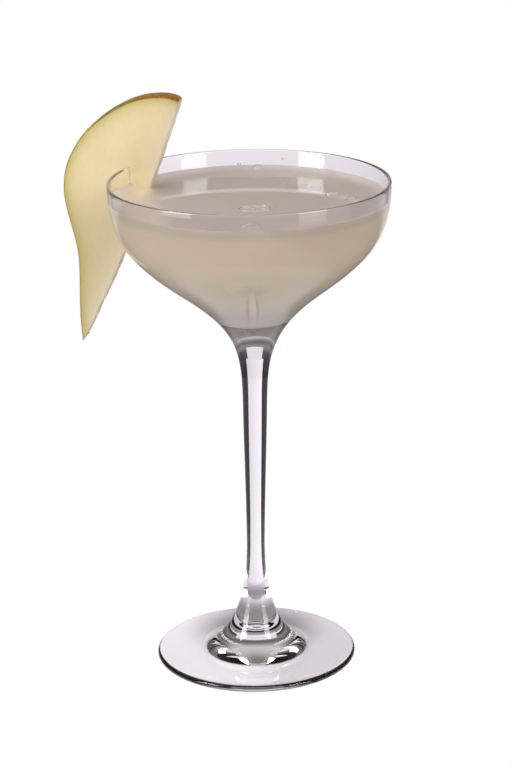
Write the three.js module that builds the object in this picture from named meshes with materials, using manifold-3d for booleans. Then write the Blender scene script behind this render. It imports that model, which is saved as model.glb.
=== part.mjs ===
// Pear margarita in a stemmed coupe: a drawn glass, a cloudy drink and a slice of pear slit over the rim.
// Millimetres, +Z up. The origin is the centre of the foot's underside, on the axis of the glass.

import * as THREE from 'three';
import { mergeVertices } from 'three/addons/utils/BufferGeometryUtils.js';
import Module from 'manifold-3d';

const wasm = await Module();
wasm.setup();

// A point of an outline: its distance from the axis, or across a face, and its height
const point = (across, height) => new THREE.Vector2(across, height);

// Glass: overall sizes
const GLASS_HEIGHT = 180;
const RIM_RADIUS = 50;
const RIM_WALL = 1.2;
const BELLY_WALL = 1.8;

// Glass: where the bowl turns into the cone above the stem, and its slope there
const TURN_RADIUS = 25.4;
const TURN_HEIGHT = 139.9;
const TURN_SLOPE = THREE.MathUtils.degToRad(36.75);
const RIM_PULL = 19.6;
const BELLY_PULL = 22;
const CONE_PULL = 27.5;

// Glass: stem, its narrowest point and the flare into the foot
const STEM_TOP_RADIUS = 4.25;
const STEM_TOP_HEIGHT = 90.4;
const STEM_TOP_PULL = 24;
const WAIST_RADIUS = 3.3;
const WAIST_HEIGHT = 43;
const WAIST_PULL = 17.3;
const FLARE_RADIUS = 18;
const FLARE_HEIGHT = 3.7;
const FLARE_SLOPE = THREE.MathUtils.degToRad(36);
const FLARE_PULL = 14.7;

// Glass: foot
const FOOT_RADIUS = 36.6;
const FOOT_EDGE = 2.3;
const FOOT_PLATE_PULL = 2.4;

// Glass: the hand-drawn stem leans sideways up to one height and is back in line at another
const STEM_LEAN = 1.1;
const LEAN_MOST_AT = 120;
const LEAN_GONE_AT = 144;

// Drink: the lowest point inside the bowl and the level of the surface
const BOWL_FLOOR = 132;
const FLOOR_PULL = 6;
const DRINK_LEVEL = 172;

// Pear slice: where its front face meets the rim, which way it faces, and its thickness
const SLICE_X = -45;
const SLICE_Y = 23.8;
const SLICE_TURN = THREE.MathUtils.degToRad(-10);
const SLICE_THICKNESS = 8;

// Pear slice: outline of its front face, measured from the rim, with the handles of its curves
const CALYX = point(20.8, 24.4);
const CROWN_HANDLE = point(8, 30.6);
const SHOULDER_HANDLE = point(-23.2, 14.6);
const SHOULDER = point(-22.9, -9);
const FLANK_HANDLE = point(-22.9, -18);
const NECK_HANDLE = point(-18, -28);
const NECK = point(-18.2, -38);
const STALK_HANDLES = [point(-18.3, -48), point(-19.1, -56)];
const STALK = point(-17.8, -66.7);
const CORE_BOW = point(5.6, -22.6);

// Clear gap kept between pieces that touch
const GAP = 0.3;
const GAP_ACROSS = 0.4;

// How finely round shapes are divided: about the axis, and along each stretch of an outline
const AROUND = 56;
const FINE = 12;
const MEDIUM = 8;
const COARSE = 4;
const SLICE_STEPS = 18;

// Corners closer than this are one corner
const MERGE_WITHIN = 1e-4;

// The point that lies a given distance from another, along a slope that rises outwards
function along(from, slope, distance) {
  return point(from.x + distance * Math.cos(slope), from.y + distance * Math.sin(slope));
}

function bezier(start, startHandle, endHandle, end, steps) {
  return new THREE.CubicBezierCurve(start, startHandle, endHandle, end).getPoints(steps);
}

// Part of a circle, from one angle to another
function arc(centre, radius, fromAngle, toAngle, steps) {
  const points = [];
  for (let i = 0; i <= steps; i += 1) {
    points.push(along(centre, fromAngle + ((toAngle - fromAngle) * i) / steps, radius));
  }
  return points;
}

// Landmarks of the glass outline, from the rim down to the foot
const lip = point(RIM_RADIUS, GLASS_HEIGHT - RIM_WALL / 2);
const turn = point(TURN_RADIUS, TURN_HEIGHT);
const stemTop = point(STEM_TOP_RADIUS, STEM_TOP_HEIGHT);
const waist = point(WAIST_RADIUS, WAIST_HEIGHT);
const flareEnd = point(FLARE_RADIUS, FLARE_HEIGHT);
const footEdge = point(FOOT_RADIUS - FOOT_EDGE / 2, FOOT_EDGE / 2);

const bowlCurve = new THREE.CubicBezierCurve(
  lip,
  point(RIM_RADIUS, lip.y - RIM_PULL),
  along(turn, TURN_SLOPE, BELLY_PULL),
  turn,
);

// The outside, from the foot's edge up to the lip
function outerOutline() {
  const stemTaper = (STEM_TOP_RADIUS - WAIST_RADIUS) / (STEM_TOP_HEIGHT - WAIST_HEIGHT);
  const edge = arc(footEdge, FOOT_EDGE / 2, -Math.PI / 2, Math.PI / 2, COARSE);
  const plate = bezier(
    edge.at(-1),
    point(FLARE_RADIUS + 2 * FOOT_PLATE_PULL, FOOT_EDGE),
    along(flareEnd, -FLARE_SLOPE, FOOT_PLATE_PULL),
    flareEnd,
    COARSE,
  );
  const flare = bezier(
    flareEnd,
    along(flareEnd, Math.PI - FLARE_SLOPE, FLARE_PULL),
    point(WAIST_RADIUS, WAIST_HEIGHT - WAIST_PULL),
    waist,
    FINE,
  );
  const stem = bezier(
    waist,
    waist.clone().lerp(point(WAIST_RADIUS, STEM_TOP_HEIGHT), 1 / 3),
    stemTop.clone().lerp(waist, 1 / 3),
    stemTop,
    COARSE,
  );
  const cone = bezier(
    stemTop,
    point(STEM_TOP_RADIUS + stemTaper * STEM_TOP_PULL, STEM_TOP_HEIGHT + STEM_TOP_PULL),
    along(turn, TURN_SLOPE, -CONE_PULL),
    turn,
    FINE,
  );
  const bowl = bowlCurve.getPoints(FINE).reverse();
  return [edge, plate, flare, stem, cone, bowl].flatMap((stretch, i) => (i ? stretch.slice(1) : stretch));
}

// The inside, from the lip down to the lowest point of the bowl, moved into the hollow by a clearance
function innerOutline(clearance) {
  const wall = [];
  for (let i = 0; i <= FINE; i += 1) {
    const t = i / FINE;
    const tangent = bowlCurve.getTangent(t);
    const thickness = THREE.MathUtils.lerp(RIM_WALL, BELLY_WALL, t) + clearance;
    const outer = bowlCurve.getPoint(t);
    wall.push(point(outer.x + tangent.y * thickness, outer.y - tangent.x * thickness));
  }
  const wallEnd = wall.at(-1);
  const floor = point(0, BOWL_FLOOR + clearance);
  const reach = (wallEnd.y - floor.y) / Math.sin(TURN_SLOPE);
  const bottom = bezier(
    wallEnd,
    along(wallEnd, TURN_SLOPE, -reach / 2),
    point(floor.x + FLOOR_PULL, floor.y),
    floor,
    MEDIUM,
  );
  return [...wall, ...bottom.slice(1)];
}

function leanAt(height) {
  const rise = Math.min(height / LEAN_MOST_AT, 1);
  return STEM_LEAN * rise * (1 - THREE.MathUtils.smoothstep(height, LEAN_MOST_AT, LEAN_GONE_AT));
}

// An outline turned about the axis of the glass, which follows the lean of the stem
function revolve(outline) {
  const geometry = new THREE.LatheGeometry(outline, AROUND).rotateX(Math.PI / 2);
  const place = geometry.attributes.position;
  for (let i = 0; i < place.count; i += 1) {
    place.setX(i, place.getX(i) + leanAt(place.getZ(i)));
  }
  return geometry;
}

// A closed geometry as a solid that can be cut
function solidOf(geometry) {
  const bare = geometry.clone();
  bare.deleteAttribute('normal');
  bare.deleteAttribute('uv');
  const merged = mergeVertices(bare, MERGE_WITHIN);
  const corners = merged.index.array;
  const triangles = [];
  for (let i = 0; i < corners.length; i += 3) {
    const [a, b, c] = corners.slice(i, i + 3);
    if (a !== b && b !== c && c !== a) triangles.push(a, b, c);
  }
  const vertProperties = new Float32Array(merged.attributes.position.array);
  const triVerts = new Uint32Array(triangles);
  return new wasm.Manifold(new wasm.Mesh({ numProp: 3, vertProperties, triVerts }));
}

function geometryOf(solid) {
  const mesh = solid.getMesh();
  const geometry = new THREE.BufferGeometry();
  geometry.setAttribute('position', new THREE.BufferAttribute(new Float32Array(mesh.vertProperties), 3));
  geometry.setIndex(new THREE.BufferAttribute(new Uint32Array(mesh.triVerts), 1));
  geometry.computeVertexNormals();
  return geometry;
}

// One piece of glass: foot, stem and hollow bowl with a rounded lip
function glassGeometry() {
  const lipRound = arc(point(RIM_RADIUS - RIM_WALL / 2, lip.y), RIM_WALL / 2, 0, Math.PI, COARSE);
  const outline = [point(0, 0), ...outerOutline(), ...lipRound.slice(1, -1), ...innerOutline(0)];
  return revolve(outline);
}

// The bowl's wall with room round it, which leaves the slit in the pear
function wallRoom() {
  const outside = outerOutline().filter((p) => p.y > BOWL_FLOOR);
  const inside = innerOutline(0).filter((p) => p.y > BOWL_FLOOR + FLOOR_PULL);
  const outline = [
    ...outside.map((p) => point(p.x + GAP_ACROSS, p.y)),
    point(RIM_RADIUS + GAP_ACROSS, GLASS_HEIGHT + GAP),
    point(RIM_RADIUS - RIM_WALL - GAP_ACROSS, GLASS_HEIGHT + GAP),
    ...inside.map((p) => point(p.x - GAP_ACROSS, p.y)),
  ];
  return revolve([...outline, outline[0]]);
}

// The slice's outline: over the crown to the shoulder, down the neck to the stalk end, and up the core side
function sliceOutline() {
  const outline = new THREE.Shape();
  outline.curves.push(
    new THREE.CubicBezierCurve(CALYX, CROWN_HANDLE, SHOULDER_HANDLE, SHOULDER),
    new THREE.CubicBezierCurve(SHOULDER, FLANK_HANDLE, NECK_HANDLE, NECK),
    new THREE.CubicBezierCurve(NECK, ...STALK_HANDLES, STALK),
    new THREE.QuadraticBezierCurve(STALK, CORE_BOW, CALYX),
  );
  return outline;
}

// The whole slice standing at the rim, grown on every side by a clearance
function sliceGeometry(clearance) {
  const settings = {
    depth: SLICE_THICKNESS,
    steps: 1,
    curveSegments: SLICE_STEPS,
    bevelEnabled: clearance > 0,
    bevelSize: clearance,
    bevelThickness: clearance,
    bevelSegments: 1,
  };
  return new THREE.ExtrudeGeometry(sliceOutline(), settings)
    .translate(0, 0, -SLICE_THICKNESS)
    .rotateX(Math.PI / 2)
    .rotateZ(SLICE_TURN)
    .translate(SLICE_X, SLICE_Y, GLASS_HEIGHT);
}

// The drink fills the bowl up to its level, round the part of the slice that dips into it
function drinkGeometry() {
  const inside = innerOutline(GAP);
  const sunk = inside.filter((p) => p.y < DRINK_LEVEL);
  const below = sunk[0];
  const above = inside[inside.length - sunk.length - 1];
  const edgeShare = (DRINK_LEVEL - below.y) / (above.y - below.y);
  const edge = below.clone().lerp(above, edgeShare);
  const full = revolve([point(0, DRINK_LEVEL), edge, ...sunk].reverse());
  return geometryOf(solidOf(full).subtract(solidOf(sliceGeometry(GAP))));
}

function pearGeometry() {
  return geometryOf(solidOf(sliceGeometry(0)).subtract(solidOf(wallRoom())));
}

function piece(name, geometry, material) {
  const mesh = new THREE.Mesh(geometry, new THREE.MeshStandardMaterial(material));
  mesh.name = name;
  return mesh;
}

const margarita = new THREE.Group();
margarita.add(
  piece('glass', glassGeometry(), {
    color: 0xece6ee,
    roughness: 0.04,
    metalness: 0,
    transparent: true,
    opacity: 0.35,
  }),
  piece('drink', drinkGeometry(), { color: 0xbdae9a, roughness: 0.12, metalness: 0 }),
  piece('pear_slice', pearGeometry(), { color: 0xe6d2a4, roughness: 0.5, metalness: 0 }),
);

export default margarita;
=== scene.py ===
# Pear margarita in a coupe: smooth glass, cloudy drink, pear slice, bubbles, and a small white studio.
import math

import bpy
from mathutils import Matrix, Vector, kdtree, noise
from mathutils.geometry import delaunay_2d_cdt


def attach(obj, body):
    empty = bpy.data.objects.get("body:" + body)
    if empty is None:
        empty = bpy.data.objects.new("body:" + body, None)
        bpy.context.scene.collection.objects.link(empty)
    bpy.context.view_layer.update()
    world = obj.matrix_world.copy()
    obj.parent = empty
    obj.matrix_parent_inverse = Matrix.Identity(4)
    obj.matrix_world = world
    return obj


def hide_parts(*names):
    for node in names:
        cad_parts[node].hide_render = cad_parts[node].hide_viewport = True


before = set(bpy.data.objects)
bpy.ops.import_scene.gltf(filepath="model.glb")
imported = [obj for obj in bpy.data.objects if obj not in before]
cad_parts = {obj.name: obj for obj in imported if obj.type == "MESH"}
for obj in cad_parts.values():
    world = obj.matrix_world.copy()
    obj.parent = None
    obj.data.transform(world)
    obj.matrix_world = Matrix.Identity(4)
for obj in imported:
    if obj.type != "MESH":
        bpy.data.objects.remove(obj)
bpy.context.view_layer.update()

scene = bpy.context.scene

MM = 0.001
BODY = "root"

# Glass, in millimetres, as the solid has it
GLASS_HEIGHT = 180.0
RIM_RADIUS = 50.0
RIM_WALL = 1.2
BELLY_WALL = 1.8
TURN = (25.4, 139.9)
TURN_SLOPE = math.radians(36.75)
RIM_PULL = 19.6
BELLY_PULL = 22.0
CONE_PULL = 27.5
STEM_TOP = (4.25, 90.4)
STEM_TOP_PULL = 24.0
WAIST = (3.3, 43.0)
WAIST_PULL = 17.3
FLARE_END = (18.0, 3.7)
FLARE_SLOPE = math.radians(36)
FLARE_PULL = 14.7
FOOT_RADIUS = 36.6
FOOT_EDGE = 2.3
FOOT_PLATE_PULL = 2.4
FOOT_HOLLOW = 1.7
FOOT_HOLLOW_RADIUS = 22.0
STEM_LEAN = 1.1
LEAN_MOST_AT = 120.0
LEAN_GONE_AT = 144.0
GLASS_AROUND = 192
GLASS_TINTS = [(0.3, (0.945, 0.925, 0.95)), (0.7, (0.97, 0.95, 0.975))]
GLASS_SHADE = (0.95, 0.93, 0.955)

# Drink, in millimetres; its colours by share of the depth, with painted light in them: near white at the
# bottom as a painted highlight, and darker towards the surface as painted shade
BOWL_FLOOR = 132.0
FLOOR_PULL = 6.0
DRINK_LEVEL = 172.0
MENISCUS_RISE = 2.2
MENISCUS_REACH = 1.5
INTO_WALL = 0.25
DRINK_DEPTH = DRINK_LEVEL - BOWL_FLOOR
DRINK_COLOURS_WITH_PAINTED_LIGHT = [
    (0.0, (0.97, 0.92, 0.87)),
    (0.1, (0.80, 0.74, 0.62)),
    (0.35, (0.745, 0.68, 0.525)),
    (0.7, (0.63, 0.555, 0.415)),
    (0.95, (0.53, 0.465, 0.345)),
    (1.0, (0.455, 0.40, 0.31)),
]
SURFACE_COLOURS = [(0.3, (0.525, 0.45, 0.405)), (0.7, (0.555, 0.475, 0.43))]
CLOUD_SHADES = [(0.3, (0.96, 0.96, 0.96)), (0.7, (1.0, 1.0, 1.0))]
# Painted light: the meniscus band by the wall is painted lighter, for the light that shines through the
# thin liquid there
BRIM_PAINTED_LIGHT = (0.66, 0.60, 0.57)
BRIM_ABOVE_LEVEL = 0.3
BRIM_BELOW_TOP = 0.4
DRINK_AROUND = 192
DRINK_SHARP = math.radians(50)

# The pear below the surface, as it shows through the drink, in millimetres
HAZE_COLOUR = (0.88, 0.72, 0.47)
HAZE_DEPTH = 11.0
HAZE_ACROSS = 8.0
HAZE_LEAN = 0.3
HAZE_EDGE = 2.5
HAZE_BACK = 9.0

# Bubbles and drops, in millimetres: centre and half sizes
RINGS = [(2.0, -8.9, 5.6, 4.2), (29.7, 9.7, 2.5, 2.2), (35.9, 2.7, 1.8, 1.6)]
RING_TUBE = 0.3
UPRIGHT_RINGS = [(0.7, -37.5, 172.0, 2.9, 1.8), (3.1, 46.6, 173.4, 1.6, 1.2)]
DOMES = [(-0.8, -8.0, 1.0, 0.6), (2.6, -6.9, 0.8, 0.5), (4.7, -10.6, 1.1, 0.6), (1.2, -10.4, 0.7, 0.4),
         (32.6, 7.6, 0.8, 0.5), (43.3, 16.0, 0.5, 0.6)]
DOME_DEPTH = 0.85
WALL_DROPS = [(-24.7, 173.4, 0.5), (12.6, 176.6, 0.5), (-3.7, 174.6, 0.6)]
WALL_DROP_DEPTH = 0.6
KNOT_AROUND = 40
KNOT_ROWS = 12
LIQUID_TINTS = [(0.3, (0.95, 0.94, 0.93)), (0.7, (0.99, 0.98, 0.97))]
LIQUID_SHADE = (0.97, 0.96, 0.95)

# Pear slice, in millimetres: outline of the front face, measured from where it meets the rim
SLICE_ANCHOR = Vector((-45.0, 23.8, GLASS_HEIGHT))
SLICE_TURN = math.radians(-10)
SLICE_THICKNESS = 8.0
CALYX = (20.8, 24.4)
CROWN_HANDLE = (8.0, 31.8)
SHOULDER_HANDLE = (-23.2, 14.6)
SHOULDER = (-22.9, -9.0)
FLANK_HANDLE = (-22.9, -18.0)
NECK_HANDLE = (-18.0, -28.0)
NECK = (-18.2, -38.0)
STALK_HANDLES = ((-18.3, -48.0), (-19.1, -56.0))
STALK = (-17.8, -66.7)
CORE_BOW = (5.6, -22.6)
OUTLINE_STEP = 0.6
FACE_STEP = 0.9
SKIN_ROUND = (1.0, 1.8)
CUT_ROUND = (0.5, 0.5)
EDGE_BENDS = (0, 22, 45, 67, 90)
EDGE_ROUND = 1.0
NET_FROM_EDGE = 1.5
RELIEF_FULL_AT = 4.0
SLIT_ROOM = -0.35
PEAR_SHARP = math.radians(40)

# Unevenness of the slice: height in millimetres, and waves to a millimetre
CORE_WAVE = (0.35, 0.22)
CORE_NICKS = (0.15, 0.8)
SKIN_WAVE = (0.12, 0.12)
FACE_WAVE = (0.25, 0.05)
FACE_FIBRE = (0.05, 0.9, 0.35)

# Colours of the slice, and where they lie on it, in millimetres
FLESH = [(0.3, (0.90, 0.745, 0.435)), (0.7, (0.95, 0.81, 0.50))]
FLESH_GRAIN = [(0.35, (0.975, 0.975, 0.965)), (0.65, (1.0, 1.0, 1.0))]
NECK_FLESH = (0.715, 0.60, 0.36)
NECK_SHADE_FROM = 150.0
NECK_SHADE_TO = 190.0
CORE_FLESH = (0.86, 0.76, 0.60)
CORE_MOST = 0.8
CORE_DEPTH = 3.5
RIND = (0.46, 0.385, 0.06)
RIND_DEPTH = 2.3
SKIN = [(0.35, (0.36, 0.30, 0.065)), (0.6, (0.44, 0.37, 0.085))]
SKIN_ENDS = (0.95, 0.6)
CROWN_SKIN = [(0.35, (0.17, 0.115, 0.012)), (0.6, (0.27, 0.20, 0.025))]
CROWN_ACROSS = (-17.0, -4.0)
CROWN_UP = (0.0, 12.0)
BLUSH_SKIN = [(0.35, (0.20, 0.065, 0.004)), (0.6, (0.36, 0.16, 0.012))]
BLUSH_ACROSS = (2.0, 12.0)
BLUSH_UP = (10.0, 18.0)

# Camera: the photograph's viewing angle
CAMERA_PLACE = Vector((1.36, -838.45, 379.95))
CAMERA_DOWN = math.radians(18.168)
CAMERA_ROLL = math.radians(-0.885)
CAMERA_LENS = 114.9

# Light: how bright floor and sky are for matt things, and what the glass sees of them, in metres;
# the sky goes by the sine of the elevation
FLOOR_BOUNCE = 0.75
SKY_BOUNCE = 0.3
SKY_TINT = (1.0, 0.945, 0.89)
SKY_IN_GLASS = [(0.0, 0.04), (0.12, 0.06), (0.20, 0.22), (0.26, 0.22), (0.35, 0.10), (0.45, 0.22),
                (0.62, 0.66), (0.78, 0.50), (0.92, 0.22), (1.0, 0.18)]
FLOOR_TINT = (0.985, 0.94, 0.99)
LANE_WIDTH = 0.012
LANE_SPREAD = 0.40
LANE_EDGE = 0.006
LANE_LEFT = 1.10
LANE_RIGHT = 0.88
LANE_FAR = 0.91
LANE_FAR_FROM = 0.40
LANE_FAR_TO = 0.52
UNDER_FOOT = 0.040
SIDE_DARK = 0.035
FOOT_GLOW = 0.7
FOOT_GLOW_FROM = 0.10
FOOT_GLOW_TO = 0.15
MIRRORED_SIDE = 0.12
MIRRORED_FAR = 0.22
MIRRORED_BEHIND = 0.9
BEHIND_FROM = 0.30
BEHIND_TO = 0.42
FRONT_SIDE = 0.45
FRONT_FROM = -0.05
FRONT_TO = -0.01
SHADE_BEHIND = 0.018
SHADE_FROM = 0.008
SHADE_TO = 0.030
SHADE_LEFT = 0.30
GLASS_BOUNCES = 24

# Floor, in millimetres
FLOOR_REACH = 6000.0
FLOOR_HEIGHT = -0.3

# Lamps: place and size in metres, and power
LAMP_AIM = (0.0, 0.0, 0.15)
LAMPS = {
    "lamp_right": ((0.42, -0.36, 0.32), (0.22, 0.6), 1.35),
    "lamp_left": ((-0.46, -0.30, 0.35), (0.24, 0.6), 1.35),
    "lamp_top": ((0.0, 0.05, 0.75), (0.5, 0.5), 1.9),
    "lamp_low": ((0.0, -0.20, 0.02), (0.4, 0.08), 0.14),
}

# Light cards: azimuth in degrees, then distance, width, lower and upper edge in millimetres, and the glow
# at the lower edge and from a full height up
CARDS = {
    "card_right": (49.5, 500.0, 205.0, 0.0, 520.0, (1.2, 9.2)),
    "card_left": (-57.0, 500.0, 220.0, 50.0, 520.0, (2.8, 14.5)),
    "card_behind": (180.0, 3000.0, 1800.0, 0.0, 760.0, (0.8, 0.8)),
}
CARD_FULL_AT = 350.0


# Outlines

def along(start, slope, distance):
    """The point at that distance from start, along a slope that rises outwards."""
    return (start[0] + distance * math.cos(slope), start[1] + distance * math.sin(slope))


def bezier_at(handles, t):
    """Point of a cubic curve with four handles."""
    s = 1 - t
    weights = (s ** 3, 3 * s * s * t, 3 * s * t * t, t ** 3)
    return tuple(sum(w * h[i] for w, h in zip(weights, handles)) for i in (0, 1))


def bezier(handles, steps):
    return [bezier_at(handles, i / steps) for i in range(steps + 1)]


def arc(centre, radius, start, end, steps):
    return [along(centre, start + (end - start) * i / steps, radius) for i in range(steps + 1)]


def smoothstep(low, high, value):
    t = min(max((value - low) / (high - low), 0.0), 1.0)
    return t * t * (3 - 2 * t)


def lean_at(height):
    """How far the drawn stem stands out of line at a height."""
    rise = min(height / LEAN_MOST_AT, 1.0)
    return STEM_LEAN * rise * (1 - smoothstep(LEAN_MOST_AT, LEAN_GONE_AT, height))


LIP = (RIM_RADIUS, GLASS_HEIGHT - RIM_WALL / 2)
BOWL_HANDLES = (LIP, (RIM_RADIUS, LIP[1] - RIM_PULL), along(TURN, TURN_SLOPE, BELLY_PULL), TURN)


def outer_outline():
    """The outside of the glass, from the foot's underside up to the lip."""
    taper = (STEM_TOP[0] - WAIST[0]) / (STEM_TOP[1] - WAIST[1])
    edge = arc((FOOT_RADIUS - FOOT_EDGE / 2, FOOT_EDGE / 2), FOOT_EDGE / 2, -math.pi / 2, math.pi / 2, 16)
    plate_handle = (FLARE_END[0] + 2 * FOOT_PLATE_PULL, FOOT_EDGE)
    flare_foot = along(FLARE_END, -FLARE_SLOPE, FOOT_PLATE_PULL)
    flare_head = along(FLARE_END, math.pi - FLARE_SLOPE, FLARE_PULL)
    third = (STEM_TOP[1] - WAIST[1]) / 3
    stem_low = (WAIST[0], WAIST[1] + third)
    stem_high = (STEM_TOP[0] - (STEM_TOP[0] - WAIST[0]) / 3, STEM_TOP[1] - third)
    cone_low = (STEM_TOP[0] + taper * STEM_TOP_PULL, STEM_TOP[1] + STEM_TOP_PULL)
    stretches = (
        edge,
        bezier((edge[-1], plate_handle, flare_foot, FLARE_END), 24),
        bezier((FLARE_END, flare_head, (WAIST[0], WAIST[1] - WAIST_PULL), WAIST), 40),
        bezier((WAIST, stem_low, stem_high, STEM_TOP), 20),
        bezier((STEM_TOP, cone_low, along(TURN, TURN_SLOPE, -CONE_PULL), TURN), 40),
        bezier(BOWL_HANDLES, 40)[::-1],
    )
    points = list(stretches[0])
    for stretch in stretches[1:]:
        points += stretch[1:]
    return points


def inner_outline(clearance):
    """The inside of the bowl, from the lip down to its lowest point, moved inwards by a clearance."""
    steps = 40
    nudge = 0.001
    wall = []
    for i in range(steps + 1):
        t = i / steps
        place = bezier_at(BOWL_HANDLES, t)
        before = bezier_at(BOWL_HANDLES, max(t - nudge, 0.0))
        after = bezier_at(BOWL_HANDLES, min(t + nudge, 1.0))
        tangent = Vector((after[0] - before[0], after[1] - before[1])).normalized()
        thickness = RIM_WALL + (BELLY_WALL - RIM_WALL) * t + clearance
        wall.append((place[0] + tangent.y * thickness, place[1] - tangent.x * thickness))
    floor = (0.0, BOWL_FLOOR + clearance)
    reach = (wall[-1][1] - floor[1]) / math.sin(TURN_SLOPE)
    handles = (wall[-1], along(wall[-1], TURN_SLOPE, -reach / 2), (FLOOR_PULL, floor[1]), floor)
    return wall + bezier(handles, 30)[1:]


# Mesh helpers

def new_object(name, verts, faces):
    mesh = bpy.data.meshes.new(name)
    mesh.from_pydata([Vector(v) * MM for v in verts], [], faces)
    mesh.validate()
    mesh.update()
    made = bpy.data.objects.new(name, mesh)
    scene.collection.objects.link(made)
    return made


def shade_smooth(piece, sharp_from=None):
    mesh = piece.data
    mesh.shade_smooth()
    if sharp_from is not None:
        mesh.set_sharp_from_angle(angle=sharp_from)


def lathe(name, outline, around):
    """A closed body: the outline, from axis to axis, turned about the leaning axis of the glass."""
    verts = []
    rings = []
    for radius, height in outline:
        lean = lean_at(height)
        if radius < 1e-6:
            rings.append([len(verts)] * around)
            verts.append((lean, 0.0, height))
            continue
        ring = []
        for j in range(around):
            angle = math.tau * j / around
            ring.append(len(verts))
            verts.append((lean + radius * math.cos(angle), radius * math.sin(angle), height))
        rings.append(ring)
    faces = []
    for low, high in zip(rings, rings[1:]):
        for j in range(around):
            k = (j + 1) % around
            corners = [low[j], low[k], high[k], high[j]]
            faces.append(list(dict.fromkeys(corners)))
    return new_object(name, verts, faces)


def add_looks(piece, looks):
    """Stores values from 0 to 1 at each vertex, which the materials read."""
    for name, values in looks.items():
        layer = piece.data.attributes.new(name, "FLOAT", "POINT")
        layer.data.foreach_set("value", values)


def finish_piece(piece, node):
    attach(piece, BODY)
    if node is not None:
        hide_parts(node)


# Material helpers

def set_ramp(node, stops):
    elements = node.color_ramp.elements
    while len(elements) < len(stops):
        elements.new(0.5)
    for element, (place, colour) in zip(elements, stops):
        element.position = place
        element.color = (*colour, 1.0)


class Nodes:
    """A small helper that builds one node material."""

    def __init__(self, name):
        self.material = bpy.data.materials.new(name)
        self.material.use_nodes = True
        self.tree = self.material.node_tree
        self.shader = self.tree.nodes["Principled BSDF"]
        self.output = self.tree.nodes["Material Output"]

    def add(self, kind, **settings):
        node = self.tree.nodes.new(kind)
        for key, value in settings.items():
            if key in node.inputs:
                node.inputs[key].default_value = value
            else:
                setattr(node, key, value)
        return node

    def link(self, source, target):
        self.tree.links.new(source, target)

    def feed(self, socket, value):
        """Links a socket to another one, or gives it a plain value."""
        if isinstance(value, bpy.types.NodeSocket):
            self.link(value, socket)
        else:
            socket.default_value = value

    def set(self, **values):
        for key, value in values.items():
            self.shader.inputs[key.replace("_", " ")].default_value = value

    def coordinates(self):
        return self.add("ShaderNodeTexCoord").outputs["Object"]

    def axes(self):
        """The object's own coordinates, a socket for each axis."""
        node = self.add("ShaderNodeSeparateXYZ")
        self.link(self.coordinates(), node.inputs[0])
        return node.outputs

    def noise(self, scale, detail=3.0, roughness=0.5, stretch=(1, 1, 1)):
        mapping = self.add("ShaderNodeMapping", Scale=stretch)
        self.link(self.coordinates(), mapping.inputs["Vector"])
        texture = self.add("ShaderNodeTexNoise", Scale=scale, Detail=detail, Roughness=roughness)
        self.link(mapping.outputs["Vector"], texture.inputs["Vector"])
        return texture.outputs["Fac"]

    def attribute(self, name):
        return self.add("ShaderNodeAttribute", attribute_name=name).outputs["Fac"]

    def ramp(self, value, stops):
        node = self.add("ShaderNodeValToRGB")
        set_ramp(node, stops)
        self.link(value, node.inputs["Fac"])
        return node.outputs["Color"]

    def mix(self, factor, first, second, blend="MIX"):
        """Mixes two colours."""
        node = self.add("ShaderNodeMix", data_type="RGBA", blend_type=blend)
        self.feed(node.inputs[0], factor)
        for socket, colour in ((node.inputs[6], first), (node.inputs[7], second)):
            self.feed(socket, (*colour, 1.0) if isinstance(colour, tuple) else colour)
        return node.outputs[2]

    def math(self, operation, *values):
        node = self.add("ShaderNodeMath", operation=operation)
        for socket, value in zip(node.inputs, values):
            self.feed(socket, value)
        return node.outputs[0]

    def blend(self, factor, first, second):
        """Mixes two numbers."""
        node = self.add("ShaderNodeMix", data_type="FLOAT")
        for place, value in ((0, factor), (2, first), (3, second)):
            self.feed(node.inputs[place], value)
        return node.outputs[0]

    def step(self, value, low, high, at_low, at_high):
        """A soft step between two levels."""
        node = self.add("ShaderNodeMapRange", interpolation_type="SMOOTHSTEP")
        self.link(value, node.inputs["Value"])
        limits = {"From Min": low, "From Max": high, "To Min": at_low, "To Max": at_high}
        for key, limit in limits.items():
            node.inputs[key].default_value = limit
        return node.outputs["Result"]

    def bump(self, height, distance, strength=1.0):
        node = self.add("ShaderNodeBump", Strength=strength, Distance=distance)
        self.link(height, node.inputs["Height"])
        self.link(node.outputs["Normal"], self.shader.inputs["Normal"])

    def pass_lamps(self, tint):
        """Lets lamps shine through, so that what stands behind is lit."""
        clear = self.add("ShaderNodeBsdfTransparent", Color=(*tint, 1.0))
        path = self.add("ShaderNodeLightPath")
        mixer = self.add("ShaderNodeMixShader")
        self.link(path.outputs["Is Shadow Ray"], mixer.inputs[0])
        self.link(self.shader.outputs[0], mixer.inputs[1])
        self.link(clear.outputs[0], mixer.inputs[2])
        self.link(mixer.outputs[0], self.output.inputs["Surface"])


# Glass

def glass_material():
    nodes = Nodes("drawn_glass")
    tint = nodes.ramp(nodes.noise(18.0), GLASS_TINTS)
    nodes.link(tint, nodes.shader.inputs["Base Color"])
    nodes.set(Roughness=0.0, IOR=1.5, Transmission_Weight=1.0)
    nodes.bump(nodes.noise(40.0, 1.0, stretch=(1, 1, 0.35)), 0.0002, 0.04)
    nodes.pass_lamps(GLASS_SHADE)
    return nodes.material


def make_glass():
    steps = 24
    underside = []
    for i in range(steps + 1):
        share = i / steps
        underside.append((FOOT_HOLLOW_RADIUS * share, FOOT_HOLLOW * (1 - share * share) ** 2))
    lip = arc((RIM_RADIUS - RIM_WALL / 2, LIP[1]), RIM_WALL / 2, 0.0, math.pi, 12)
    outline = underside + outer_outline() + lip[1:-1] + inner_outline(0.0)
    piece = lathe("coupe_glass", outline, GLASS_AROUND)
    shade_smooth(piece)
    piece.data.materials.append(glass_material())
    finish_piece(piece, "glass")


# Drink

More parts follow.
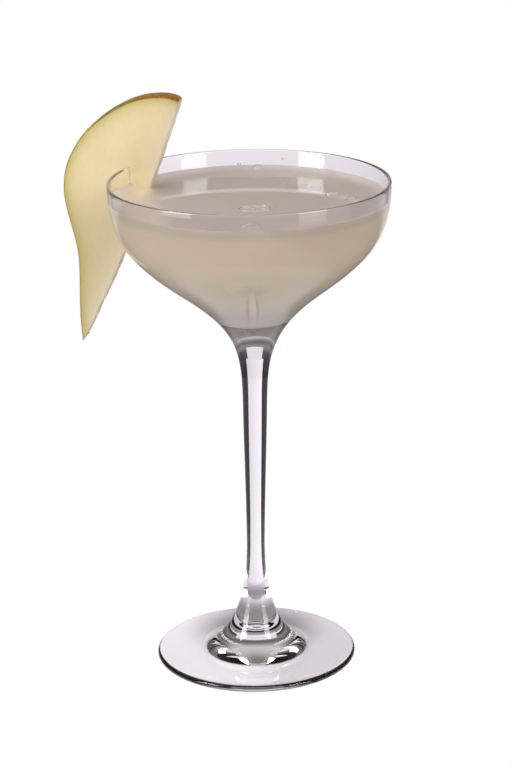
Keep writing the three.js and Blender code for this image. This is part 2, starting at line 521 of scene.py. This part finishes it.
def drink_material(name, surface):
    nodes = Nodes(name)
    if surface:
        colour = nodes.ramp(nodes.noise(45.0, 3.0), SURFACE_COLOURS)
    else:
        # The body's colour by height carries painted light: a painted highlight at the bottom and painted
        # shade towards the surface
        above_floor = nodes.math("SUBTRACT", nodes.axes()["Z"], BOWL_FLOOR * MM)
        colour = nodes.ramp(nodes.math("DIVIDE", above_floor, DRINK_DEPTH * MM), DRINK_COLOURS_WITH_PAINTED_LIGHT)
    cloud = nodes.ramp(nodes.noise(28.0, 4.0), CLOUD_SHADES)
    colour = nodes.mix(1.0, colour, cloud, "MULTIPLY")
    if surface:
        colour = nodes.mix(nodes.attribute("by_pear"), colour, HAZE_COLOUR)
        # painted light on the meniscus band by the wall
        colour = nodes.mix(nodes.attribute("painted_brim_light"), colour, BRIM_PAINTED_LIGHT)
    nodes.link(colour, nodes.shader.inputs["Base Color"])
    nodes.set(Subsurface_Weight=0.12, Subsurface_Scale=0.006, Subsurface_Radius=(1.0, 1.0, 0.85), IOR=1.34)
    if surface:
        nodes.set(Roughness=0.02)
        nodes.bump(nodes.noise(120.0, 2.0), 0.0001, 0.08)
    else:
        nodes.set(Roughness=0.5, Specular_IOR_Level=0.0)
    return nodes.material


def clear_liquid():
    nodes = Nodes("clear_liquid")
    tint = nodes.ramp(nodes.noise(60.0), LIQUID_TINTS)
    nodes.link(tint, nodes.shader.inputs["Base Color"])
    nodes.set(Roughness=0.0, IOR=1.34, Transmission_Weight=1.0)
    nodes.pass_lamps(LIQUID_SHADE)
    return nodes.material


def wall_radius(height, clearance):
    """Radius of the bowl's inside at a height."""
    outline = inner_outline(clearance)
    for upper, lower in zip(outline, outline[1:]):
        if upper[1] >= height >= lower[1]:
            share = (upper[1] - height) / (upper[1] - lower[1])
            return upper[0] + (lower[0] - upper[0]) * share
    return 0.0


def make_drink():
    top = DRINK_LEVEL + MENISCUS_RISE
    wall = [p for p in inner_outline(-INTO_WALL) if p[1] < top - 0.1]
    brim = (wall_radius(top, -INTO_WALL), top)
    side = wall[::-1] + [brim]
    steps = 60
    surface = []
    for i in range(1, steps + 1):
        away = brim[0] * (i / steps) ** 2
        climb = MENISCUS_RISE * math.exp(-max(away - INTO_WALL, 0.0) / MENISCUS_REACH)
        surface.append((brim[0] - away, DRINK_LEVEL + climb))
    surface[-1] = (0.0, DRINK_LEVEL)
    piece = lathe("margarita_drink", side + surface, DRINK_AROUND)
    shade_smooth(piece, DRINK_SHARP)
    piece.data.materials.append(drink_material("cloudy_drink", False))
    piece.data.materials.append(drink_material("drink_surface", True))
    for index, face in enumerate(piece.data.polygons):
        ring = index // DRINK_AROUND
        face.material_index = 1 if ring >= len(side) - 1 else 0
    spots = [v.co / MM for v in piece.data.vertices]
    # The meniscus band by the wall, where the surface gets painted light
    brim_from = DRINK_LEVEL + BRIM_ABOVE_LEVEL
    brim_to = top - BRIM_BELOW_TOP
    add_looks(piece, {
        "by_pear": [pear_haze(spot) for spot in spots],
        "painted_brim_light": [smoothstep(brim_from, brim_to, spot.z) for spot in spots],
    })
    finish_piece(piece, "drink")


def pear_haze(spot):
    """How much of the pear below the surface shows through the drink in front of it."""
    local = Matrix.Rotation(-SLICE_TURN, 3, "Z") @ (spot - SLICE_ANCHOR)
    if local.y >= HAZE_BACK:
        return 0.0
    in_front = max(-local.y, 0.0)
    core_at = HAZE_ACROSS + (local.z + GLASS_HEIGHT - DRINK_LEVEL) * HAZE_LEAN
    beside = max(local.x - core_at, 0.0)
    return math.exp(-in_front / HAZE_DEPTH) * math.exp(-(beside / HAZE_EDGE) ** 2)


# Bubbles

def add_knot(verts, faces, centre, half, ring=None, upright=False):
    """Adds a small closed form: an ellipsoid, or a tube round an ellipse if a ring is given."""
    around = KNOT_AROUND
    rows = KNOT_ROWS
    first = len(verts)
    for i in range(rows):
        if ring:
            turn = math.tau * i / rows
            reach = [ring[k] + half[k] * math.cos(turn) for k in (0, 1)]
            rise = half[2] * math.sin(turn)
        else:
            turn = math.pi * (i + 0.5) / rows
            reach = [half[k] * math.sin(turn) for k in (0, 1)]
            rise = -half[2] * math.cos(turn)
        for j in range(around):
            angle = math.tau * j / around
            offset = Vector((reach[0] * math.cos(angle), reach[1] * math.sin(angle), rise))
            if upright:
                offset = Vector((offset.x, -offset.z, offset.y))
            verts.append(Vector(centre) + offset)
    for i in range(rows if ring else rows - 1):
        low = first + i * around
        high = first + (i + 1) % rows * around
        for j in range(around):
            k = (j + 1) % around
            corners = (low + j, low + k, high + k, high + j)
            faces.append(corners[::-1] if ring else corners)
    if not ring:
        last = first + (rows - 1) * around
        faces.append(tuple(range(first, first + around))[::-1])
        faces.append(tuple(range(last, last + around)))


def make_bubbles():
    verts = []
    faces = []
    tube = (RING_TUBE, RING_TUBE, RING_TUBE)
    for x, y, across, deep in RINGS:
        add_knot(verts, faces, (x, y, DRINK_LEVEL), tube, (across, deep))
    for x, y, z, across, tall in UPRIGHT_RINGS:
        add_knot(verts, faces, (x, y, z), tube, (across, tall), True)
    for x, y, size, tall in DOMES:
        add_knot(verts, faces, (x, y, DRINK_LEVEL), (size, size * DOME_DEPTH, tall))
    for x, z, size in WALL_DROPS:
        radius = wall_radius(z, 0.0)
        centre = (x, math.sqrt(radius * radius - x * x), z)
        add_knot(verts, faces, centre, (size, size * WALL_DROP_DEPTH, size))
    piece = new_object("bubbles", verts, faces)
    shade_smooth(piece)
    piece.data.materials.append(clear_liquid())
    finish_piece(piece, None)


# Pear slice

def slice_outline():
    """Evenly spaced points round the front face, each with 1 on the skin and 0 on the cut core side."""
    rise = [tuple(end[i] + (CORE_BOW[i] - end[i]) * 2 / 3 for i in (0, 1)) for end in (STALK, CALYX)]
    curves = (
        ((CALYX, CROWN_HANDLE, SHOULDER_HANDLE, SHOULDER), 1),
        ((SHOULDER, FLANK_HANDLE, NECK_HANDLE, NECK), 1),
        ((NECK, *STALK_HANDLES, STALK), 1),
        ((STALK, *rise, CALYX), 0),
    )
    path = []
    for handles, skin in curves:
        path += [(Vector(p), skin) for p in bezier(handles, 200)[:-1]]
    points = []
    travelled = 0.0
    for (here, skin), (there, _) in zip(path, path[1:] + path[:1]):
        length = (there - here).length
        while travelled <= length:
            points.append((here.lerp(there, travelled / length), skin))
            travelled += OUTLINE_STEP
        travelled -= length
    for _ in range(3):
        smooth = []
        for i, (place, skin) in enumerate(points):
            before = points[i - 1][0]
            after = points[(i + 1) % len(points)][0]
            smooth.append((place * 0.5 + (before + after) * 0.25, skin))
        points = smooth
    return points


def roughen(points):
    """The knife left the core side a little uneven, and the skin is not quite smooth either."""
    rough = []
    for i, (place, skin) in enumerate(points):
        along_edge = points[(i + 1) % len(points)][0] - points[i - 1][0]
        outward = Vector((along_edge.y, -along_edge.x)).normalized()
        if skin:
            high, rate = SKIN_WAVE
            amount = high * noise.noise(Vector((place.x * rate, place.y * rate, 5.0)))
        else:
            high, rate = CORE_WAVE
            amount = high * noise.noise(Vector((place.y * rate, 3.1, 0.0)))
            high, rate = CORE_NICKS
            amount += high * noise.noise(Vector((place.y * rate, 7.7, 0.0)))
        rough.append((place + outward * amount, skin, outward))
    return rough


def face_relief(across, height, seed):
    """Unevenness of a cut face: a slow wave from the knife and fine fibres that run along the slice."""
    wave_high, rate = FACE_WAVE
    wave = noise.noise(Vector((across * rate, height * rate, seed)))
    fibre_high, rate_across, rate_along = FACE_FIBRE
    fibre = noise.noise(Vector((across * rate_across, height * rate_along, seed + 4.0)))
    return wave_high * wave + fibre_high * fibre


def spot_tree(spots):
    """A search tree for the nearest of some flat points."""
    tree = kdtree.KDTree(len(spots))
    for i, spot in enumerate(spots):
        tree.insert((*spot, 0.0), i)
    tree.balance()
    return tree


class SliceMesh:
    """Vertices and faces of the slice, and how its looks change over them."""

    def __init__(self, loop):
        self.loop = loop
        self.outline = spot_tree([place for place, _, _ in loop])
        self.skin = spot_tree([place for place, skin, _ in loop if skin])
        self.core = spot_tree([place for place, skin, _ in loop if not skin])
        self.verts = []
        self.faces = []
        self.looks = {"rind": [], "core": [], "skin": [], "crown": [], "blush": []}

    def add_vertex(self, across, height, depth, on_skin):
        near_skin = self.skin.find((across, height, 0.0))[2]
        near_core = self.core.find((across, height, 0.0))[2]
        self.verts.append((across, height, depth))
        self.looks["rind"].append(math.exp(-near_skin / RIND_DEPTH))
        self.looks["core"].append(CORE_MOST * math.exp(-near_core / CORE_DEPTH))
        self.looks["skin"].append(on_skin)
        self.looks["crown"].append(smoothstep(*CROWN_ACROSS, across) * smoothstep(*CROWN_UP, height))
        self.looks["blush"].append(smoothstep(*BLUSH_ACROSS, across) * smoothstep(*BLUSH_UP, height))
        return len(self.verts) - 1

    def add_edge(self):
        """Rows of the edge, from the front face round to the back one; the skin side is rounder."""
        bend = [math.radians(a) for a in EDGE_BENDS]
        round_rows = [(1 - math.sin(a), 1 - math.cos(a)) for a in bend]
        rows = [(inset, drop, 0.0) for inset, drop in round_rows]
        rows += [(0.0, 0.0, SLICE_THICKNESS * k / 8) for k in (3, 4, 5)]
        rows += [(inset, -drop, SLICE_THICKNESS) for inset, drop in round_rows[::-1]]
        edge_rows = []
        for inset, drop, depth in rows:
            row = []
            for place, skin, outward in self.loop:
                reach = SKIN_ROUND if skin else CUT_ROUND
                spot = place - outward * inset * reach[0]
                on_skin = skin * smoothstep(*SKIN_ENDS, inset)
                row.append(self.add_vertex(spot.x, spot.y, depth + drop * reach[1], on_skin))
            edge_rows.append(row)
        count = len(self.loop)
        for front, back in zip(edge_rows, edge_rows[1:]):
            for i in range(count):
                k = (i + 1) % count
                self.faces.append((front[i], back[i], back[k], front[k]))
        return edge_rows[0], edge_rows[-1]

    def net_spots(self, border):
        """Places inside the border, in staggered rows."""
        lows = [min(p[i] for p in border) for i in (0, 1)]
        highs = [max(p[i] for p in border) for i in (0, 1)]
        spots = []
        height = lows[1]
        odd = False
        while height < highs[1]:
            across = lows[0] + (FACE_STEP / 2 if odd else 0.0)
            while across < highs[0]:
                spot = Vector((across, height))
                _, index, distance = self.outline.find((*spot, 0.0))
                place, _, outward = self.loop[index]
                if distance > NET_FROM_EDGE and (spot - place).dot(outward) < 0:
                    spots.append(spot)
                across += FACE_STEP
            height += FACE_STEP * 0.87
            odd = not odd
        return spots

    def fill_faces(self, front_row, back_row):
        """The two cut faces, filled with an even net of triangles."""
        count = len(self.loop)
        border = [Vector(self.verts[i][:2]) for i in front_row]
        ring = [(i, (i + 1) % count) for i in range(count)]
        net = delaunay_2d_cdt(border + self.net_spots(border), ring, [], 1, 1e-5)
        sides = ((0.0, front_row, 1.0, False), (SLICE_THICKNESS, back_row, 2.0, True))
        for depth, row, seed, flip in sides:
            number = list(row)
            for spot in net[0][count:]:
                distance = self.outline.find((*spot, 0.0))[2]
                settle = smoothstep(EDGE_ROUND, RELIEF_FULL_AT, distance)
                relief = face_relief(spot.x, spot.y, seed) * settle
                number.append(self.add_vertex(spot.x, spot.y, depth + relief, 0.0))
            for triangle in net[2]:
                corners = [number[i] for i in triangle]
                self.faces.append(corners[::-1] if flip else corners)


def make_pear():
    shape = SliceMesh(roughen(slice_outline()))
    front_row, back_row = shape.add_edge()
    shape.fill_faces(front_row, back_row)
    turn = Matrix.Rotation(SLICE_TURN, 3, "Z")
    placed = []
    for across, height, depth in shape.verts:
        placed.append(SLICE_ANCHOR + turn @ Vector((across, depth, height)))
    piece = new_object("pear", placed, shape.faces)
    add_looks(piece, shape.looks)
    cut_slit(piece)
    shade_smooth(piece, PEAR_SHARP)
    piece.data.materials.append(pear_material())
    finish_piece(piece, "pear_slice")


def cut_slit(piece):
    """The wall of the glass goes through the slice in a narrow slit."""
    outside = [p for p in outer_outline() if p[1] > TURN[1] + 5]
    inside = [p for p in inner_outline(0.0) if p[1] > TURN[1] + 7]
    top = GLASS_HEIGHT + SLIT_ROOM
    outline = [(r + SLIT_ROOM, z) for r, z in outside]
    outline += [(RIM_RADIUS + SLIT_ROOM, top), (RIM_RADIUS - RIM_WALL - SLIT_ROOM, top)]
    outline += [(r - SLIT_ROOM, z) for r, z in inside]
    cutter = lathe("slit_cutter", outline + outline[:1], GLASS_AROUND)
    cut = piece.modifiers.new("slit", "BOOLEAN")
    cut.object = cutter
    cut.operation = "DIFFERENCE"
    cut.solver = "EXACT"
    graph = bpy.context.evaluated_depsgraph_get()
    mesh = bpy.data.meshes.new_from_object(piece.evaluated_get(graph))
    piece.modifiers.clear()
    piece.data = mesh
    bpy.data.objects.remove(cutter)


def pear_material():
    nodes = Nodes("pear_flesh_and_skin")
    flesh = nodes.ramp(nodes.noise(70.0, 3.0, stretch=(1, 1, 0.5)), FLESH)
    low = nodes.step(nodes.axes()["Z"], NECK_SHADE_FROM * MM, NECK_SHADE_TO * MM, 1.0, 0.0)
    flesh = nodes.mix(low, flesh, NECK_FLESH)
    flesh = nodes.mix(nodes.attribute("core"), flesh, CORE_FLESH)
    grain = nodes.ramp(nodes.noise(700.0, 2.0, stretch=(1, 1, 0.5)), FLESH_GRAIN)
    flesh = nodes.mix(1.0, flesh, grain, "MULTIPLY")
    flesh = nodes.mix(nodes.attribute("rind"), flesh, RIND)
    speckle = nodes.noise(1100.0, 2.0)
    skin = nodes.ramp(speckle, SKIN)
    skin = nodes.mix(nodes.attribute("crown"), skin, nodes.ramp(speckle, CROWN_SKIN))
    skin = nodes.mix(nodes.attribute("blush"), skin, nodes.ramp(speckle, BLUSH_SKIN))
    colour = nodes.mix(nodes.attribute("skin"), flesh, skin)
    nodes.link(colour, nodes.shader.inputs["Base Color"])
    nodes.set(Roughness=0.45, IOR=1.38, Specular_IOR_Level=0.3)
    nodes.set(Subsurface_Weight=0.2, Subsurface_Scale=0.0007, Subsurface_Radius=(1.0, 0.8, 0.4))
    nodes.bump(nodes.noise(900.0, 3.0), 0.0003, 0.25)
    return nodes.material


# Studio

def glow_material(name, tint, strengths, emission_for):
    """A stage material that only glows: as a set strength for some rays, by a pattern for the rest."""
    nodes = Nodes(name)
    path = nodes.add("ShaderNodeLightPath")
    total = emission_for(nodes, path)
    for ray, strength in strengths.items():
        total = nodes.blend(path.outputs[ray], total, strength)
    colour = nodes.mix(path.outputs["Is Camera Ray"], tint, (1.0, 1.0, 1.0))
    glow = nodes.add("ShaderNodeEmission")
    nodes.link(colour, glow.inputs["Color"])
    nodes.link(total, glow.inputs["Strength"])
    nodes.link(glow.outputs[0], nodes.output.inputs["Surface"])
    nodes.material.cycles.emission_sampling = "NONE"
    return nodes.material


def table_in_glass(nodes, path):
    """The table as the glass sees it: a white lane that widens behind the foot, with dark sides."""
    axes = nodes.axes()
    length = nodes.add("ShaderNodeVectorMath", operation="LENGTH")
    nodes.link(nodes.coordinates(), length.inputs[0])
    from_foot = length.outputs["Value"]
    side = nodes.step(axes["Y"], FRONT_FROM, FRONT_TO, FRONT_SIDE, SIDE_DARK)
    behind = nodes.math("MAXIMUM", axes["Y"], 0.0)
    room = nodes.math("MULTIPLY_ADD", behind, LANE_SPREAD, LANE_WIDTH)
    across = nodes.math("ABSOLUTE", axes["X"])
    in_lane = nodes.step(nodes.math("SUBTRACT", across, room), -LANE_EDGE, LANE_EDGE, 1.0, 0.0)
    under_foot = nodes.step(from_foot, UNDER_FOOT, UNDER_FOOT + LANE_EDGE, 1.0, 0.0)
    in_lane = nodes.math("MAXIMUM", in_lane, under_foot)
    white = nodes.step(nodes.math("DIVIDE", axes["X"], room), -1.0, 1.0, LANE_LEFT, LANE_RIGHT)
    far = nodes.step(axes["Y"], LANE_FAR_FROM, LANE_FAR_TO, 1.0, LANE_FAR)
    white = nodes.math("MULTIPLY", white, far)
    from_shade = nodes.add("ShaderNodeVectorMath", operation="DISTANCE")
    nodes.link(nodes.coordinates(), from_shade.inputs[0])
    from_shade.inputs[1].default_value = (0.0, SHADE_BEHIND, 0.0)
    shade = nodes.step(from_shade.outputs["Value"], SHADE_FROM, SHADE_TO, SHADE_LEFT, 1.0)
    through = nodes.blend(in_lane, side, nodes.math("MULTIPLY", white, shade))
    mirrored_near = nodes.step(from_foot, FOOT_GLOW_FROM, FOOT_GLOW_TO, FOOT_GLOW, MIRRORED_SIDE)
    mirrored_far = nodes.step(axes["Y"], BEHIND_FROM, BEHIND_TO, MIRRORED_FAR, MIRRORED_BEHIND)
    is_far = nodes.step(from_foot, BEHIND_FROM, BEHIND_TO, 0.0, 1.0)
    mirrored = nodes.blend(is_far, mirrored_near, mirrored_far)
    return nodes.blend(path.outputs["Is Transmission Ray"], mirrored, through)


def make_floor(rig):
    signs = ((-1, -1), (1, -1), (1, 1), (-1, 1))
    corners = [(x * FLOOR_REACH, y * FLOOR_REACH, FLOOR_HEIGHT) for x, y in signs]
    floor = new_object("floor", corners, [(0, 1, 2, 3)])
    strengths = {"Is Diffuse Ray": FLOOR_BOUNCE, "Is Camera Ray": 1.0}
    floor.data.materials.append(glow_material("pale_floor", FLOOR_TINT, strengths, table_in_glass))
    floor.parent = rig


def make_camera():
    data = bpy.data.cameras.new("camera")
    data.lens = CAMERA_LENS
    camera = bpy.data.objects.new("camera", data)
    scene.collection.objects.link(camera)
    aim = Matrix.Rotation(math.pi / 2 - CAMERA_DOWN, 4, "X") @ Matrix.Rotation(CAMERA_ROLL, 4, "Z")
    camera.matrix_world = Matrix.Translation(CAMERA_PLACE * MM) @ aim
    data.clip_start = 0.01
    scene.camera = camera
    return camera


def make_rig(camera):
    """Floor, lamps and light cards stand on a turntable that faces the camera."""
    rig = bpy.data.objects.new("turntable", None)
    scene.collection.objects.link(rig)
    follow = rig.constraints.new("LOCKED_TRACK")
    follow.target = camera
    follow.track_axis = "TRACK_NEGATIVE_Y"
    follow.lock_axis = "LOCK_Z"
    return rig


def make_lamp(rig, name, place, size, power):
    """A soft lamp that only lights matt things; the glass sees the light cards instead."""
    data = bpy.data.lights.new(name, "AREA")
    data.shape = "RECTANGLE"
    data.size, data.size_y = size
    data.energy = power
    lamp = bpy.data.objects.new(name, data)
    scene.collection.objects.link(lamp)
    lamp.parent = rig
    lamp.location = place
    lamp.rotation_euler = (Vector(LAMP_AIM) - Vector(place)).to_track_quat("-Z", "Y").to_euler()
    lamp.visible_camera = False
    lamp.visible_glossy = False
    lamp.visible_transmission = False


def make_light_card(rig, name, azimuth, distance, width, low, high, glow):
    """A glowing strip that stands round the glass, seen only in it and on moist faces."""
    angle = math.radians(azimuth)
    middle = Vector((math.sin(angle), -math.cos(angle), 0.0)) * distance
    across = Vector((math.cos(angle), math.sin(angle), 0.0)) * width / 2
    foot = Vector((0.0, 0.0, low))
    head = Vector((0.0, 0.0, high))
    left = middle - across
    right = middle + across
    card = new_object(name, [left + foot, right + foot, right + head, left + head], [(0, 1, 2, 3)])

    def fade(nodes, path):
        return nodes.step(nodes.axes()["Z"], low * MM, CARD_FULL_AT * MM, *glow)

    card.data.materials.append(glow_material(name, (1.0, 1.0, 1.0), {}, fade))
    card.parent = rig
    card.visible_camera = False
    card.visible_diffuse = False
    card.visible_shadow = False


def make_world():
    world = bpy.data.worlds.new("studio")
    scene.world = world
    world.use_nodes = True
    tree = world.node_tree
    path = tree.nodes.new("ShaderNodeLightPath")
    shade = tree.nodes["Background"].outputs[0]
    height = tree.nodes.new("ShaderNodeSeparateXYZ")
    tree.links.new(tree.nodes.new("ShaderNodeTexCoord").outputs["Generated"], height.inputs[0])
    sky = tree.nodes.new("ShaderNodeValToRGB")
    set_ramp(sky, [(rise, tuple(level * tint for tint in SKY_TINT)) for rise, level in SKY_IN_GLASS])
    tree.links.new(height.outputs["Z"], sky.inputs["Fac"])
    tree.links.new(sky.outputs["Color"], tree.nodes["Background"].inputs["Color"])
    for ray, level in (("Is Diffuse Ray", SKY_BOUNCE), ("Is Camera Ray", 1.0)):
        layer = tree.nodes.new("ShaderNodeBackground")
        layer.inputs["Color"].default_value = (level,) * 3 + (1.0,)
        mixer = tree.nodes.new("ShaderNodeMixShader")
        tree.links.new(path.outputs[ray], mixer.inputs[0])
        tree.links.new(shade, mixer.inputs[1])
        tree.links.new(layer.outputs[0], mixer.inputs[2])
        shade = mixer.outputs[0]
    tree.links.new(shade, tree.nodes["World Output"].inputs["Surface"])
    world.cycles.sampling_method = "NONE"


def make_studio():
    rig = make_rig(make_camera())
    make_floor(rig)
    make_world()
    for name, lamp in LAMPS.items():
        make_lamp(rig, name, *lamp)
    for name, card in CARDS.items():
        make_light_card(rig, name, *card)
    scene.view_settings.view_transform = "Standard"
    scene.cycles.max_bounces = GLASS_BOUNCES
    scene.cycles.transmission_bounces = GLASS_BOUNCES


make_studio()
make_glass()
make_drink()
make_bubbles()
make_pear()
